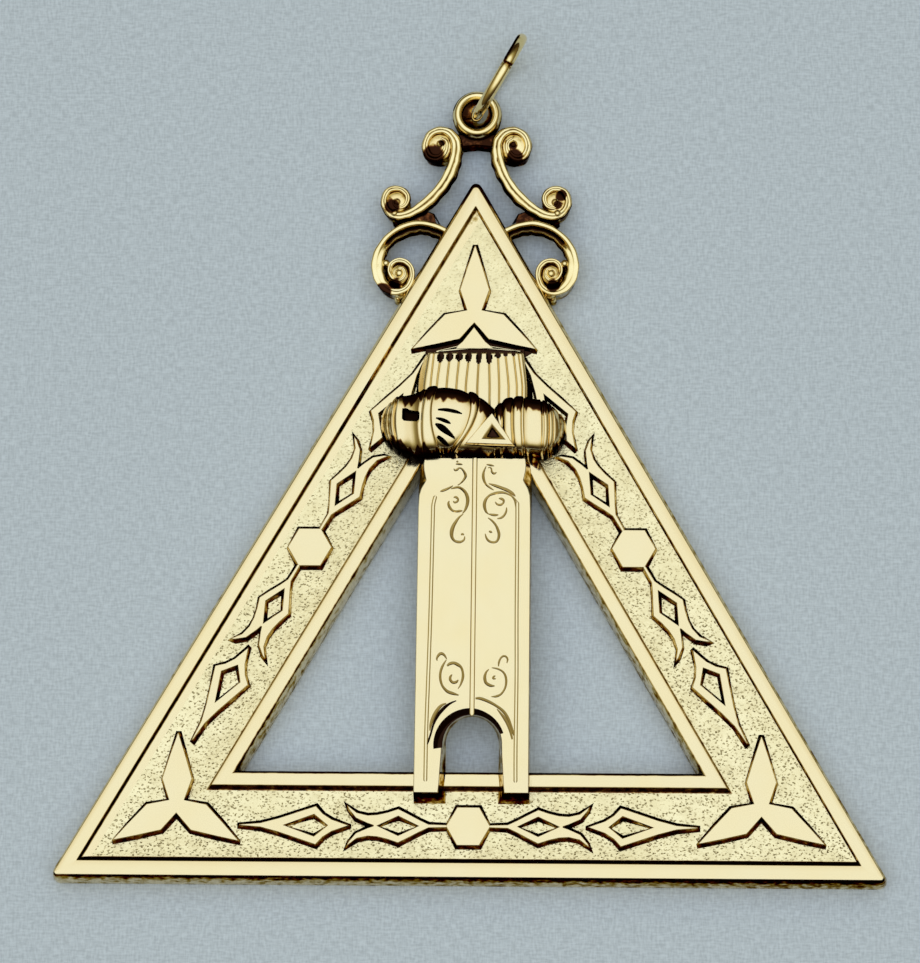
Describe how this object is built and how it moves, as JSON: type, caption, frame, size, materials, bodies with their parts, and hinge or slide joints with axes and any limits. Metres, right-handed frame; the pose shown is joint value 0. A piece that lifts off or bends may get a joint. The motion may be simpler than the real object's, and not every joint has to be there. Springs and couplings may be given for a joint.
{
  "type": "collar jewel",
  "caption": "Gilt triangular collar jewel with cast ornament round an open middle, a plumb rule and turban laid over it, and a scroll crest with loop and jump ring to hang it by.",
  "frame": {"origin": "on the flat back, in the middle of the triangle's lower side, half way across its band", "axes": "+X to the right as the jewel is seen from the front, +Y up the middle to the crest and loop, +Z out of the face; the back lies on z = 0"},
  "size_m": [0.0694, 0.073, 0.0086],
  "materials": {
    "gilt_brass": "polished gold plate"
  },
  "bodies": {
    "root": {"frame": "gilt_brass", "plumb_rule": "gilt_brass", "turban": "gilt_brass", "rivet_foot_left": "gilt_brass", "rivet_foot_right": "gilt_brass", "rivet_turban_left": "gilt_brass", "rivet_turban_right": "gilt_brass", "jump_ring": "gilt_brass"}
  },
  "joints": []
}
